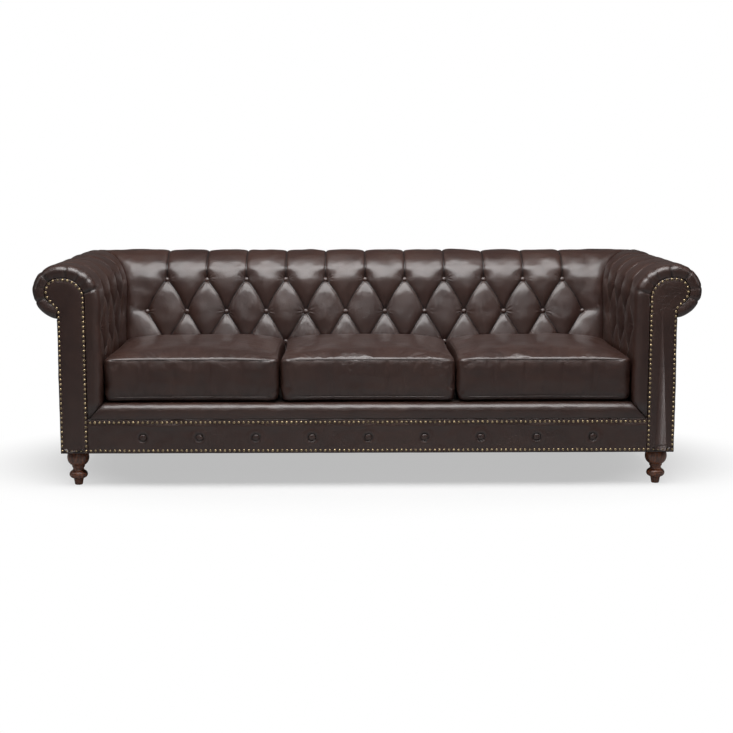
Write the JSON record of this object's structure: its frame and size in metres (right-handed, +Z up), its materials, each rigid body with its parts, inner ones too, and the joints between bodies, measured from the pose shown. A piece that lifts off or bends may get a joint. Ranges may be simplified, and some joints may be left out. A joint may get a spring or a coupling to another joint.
{
  "type": "chesterfield sofa",
  "caption": "Long rolled-arm sofa with deep-buttoned leather back and arms, loose seat cushions, nail trim and turned feet.",
  "frame": {"origin": "centre of the footprint, on the floor under the feet", "axes": "+X to the viewer's right along the sofa, +Y from the front of the seat towards the back, +Z up"},
  "size_m": [2.3, 0.95, 0.773],
  "materials": {
    "leather": "dark brown, glossy",
    "foam": "cut upholstery foam",
    "hardwood": "sawn, unfinished",
    "plywood": "thin sheet, unfinished",
    "walnut": "turned, satin varnish",
    "antique_brass": "aged, satin",
    "spring_steel": "drawn wire",
    "zinc_steel": "zinc plated",
    "webbing": "woven strap",
    "hessian": "open plain weave",
    "black_cloth": "non-woven, matt",
    "deck_cloth": "platform cloth, matt",
    "zip_tape": "woven tape with coil teeth"
  },
  "bodies": {
    "sofa": {"front_rail": "hardwood", "rear_rail": "hardwood", "side_rails": "hardwood", "seat_stretchers": "hardwood", "corner_blocks": "hardwood", "left_arm_scroll_board": "plywood", "right_arm_scroll_board": "plywood", "arm_rear_posts": "hardwood", "arm_top_rails": "hardwood", "arm_tack_rails": "hardwood", "back_posts": "hardwood", "back_top_rails": "hardwood", "back_tack_rail": "hardwood", "seat_springs": "spring_steel", "spring_clips": "zinc_steel", "deck_cloth": "hessian", "deck_pad": "foam", "deck_cover": "deck_cloth", "arm_webbing": "webbing", "back_webbing": "webbing", "arm_roll_liners": "plywood", "back_roll_liner": "plywood", "left_arm_foam": "foam", "right_arm_foam": "foam", "back_foam": "foam", "left_arm_cover": "leather", "right_arm_cover": "leather", "back_cover": "leather", "lip_foam": "foam", "lip_cover": "leather", "rail_panel": "leather", "left_outer_arm_panel": "leather", "right_outer_arm_panel": "leather", "outer_back_panel": "leather", "left_arm_facing": "leather", "right_arm_facing": "leather", "back_buttons": "leather", "left_arm_buttons": "leather", "right_arm_buttons": "leather", "rail_buttons": "leather", "trim_nails": "antique_brass", "front_left_foot": "walnut", "front_right_foot": "walnut", "rear_left_foot": "walnut", "rear_right_foot": "walnut", "foot_bolts": "zinc_steel", "foot_nuts": "zinc_steel", "dust_cover": "black_cloth"},
    "left_cushion": {"left_cushion_cover": "leather", "left_cushion_core": "foam", "left_cushion_zip": "zip_tape"},
    "left_slider": {"left_zip_slider": "antique_brass"},
    "middle_cushion": {"middle_cushion_cover": "leather", "middle_cushion_core": "foam", "middle_cushion_zip": "zip_tape"},
    "middle_slider": {"middle_zip_slider": "antique_brass"},
    "right_cushion": {"right_cushion_cover": "leather", "right_cushion_core": "foam", "right_cushion_zip": "zip_tape"},
    "right_slider": {"right_zip_slider": "antique_brass"}
  },
  "joints": [
    {"name": "left_cushion_lift", "type": "slide", "parent": "sofa", "child": "left_cushion", "axis": [0, 0, 1], "range_m": [0, 0.485]},
    {"name": "left_zip_run", "type": "slide", "parent": "left_cushion", "child": "left_slider", "axis": [1, 0, 0], "range_m": [0, 0.483]},
    {"name": "middle_cushion_lift", "type": "slide", "parent": "sofa", "child": "middle_cushion", "axis": [0, 0, 1], "range_m": [0, 0.485]},
    {"name": "middle_zip_run", "type": "slide", "parent": "middle_cushion", "child": "middle_slider", "axis": [1, 0, 0], "range_m": [0, 0.483]},
    {"name": "right_cushion_lift", "type": "slide", "parent": "sofa", "child": "right_cushion", "axis": [0, 0, 1], "range_m": [0, 0.485]},
    {"name": "right_zip_run", "type": "slide", "parent": "right_cushion", "child": "right_slider", "axis": [1, 0, 0], "range_m": [0, 0.483]}
  ]
}
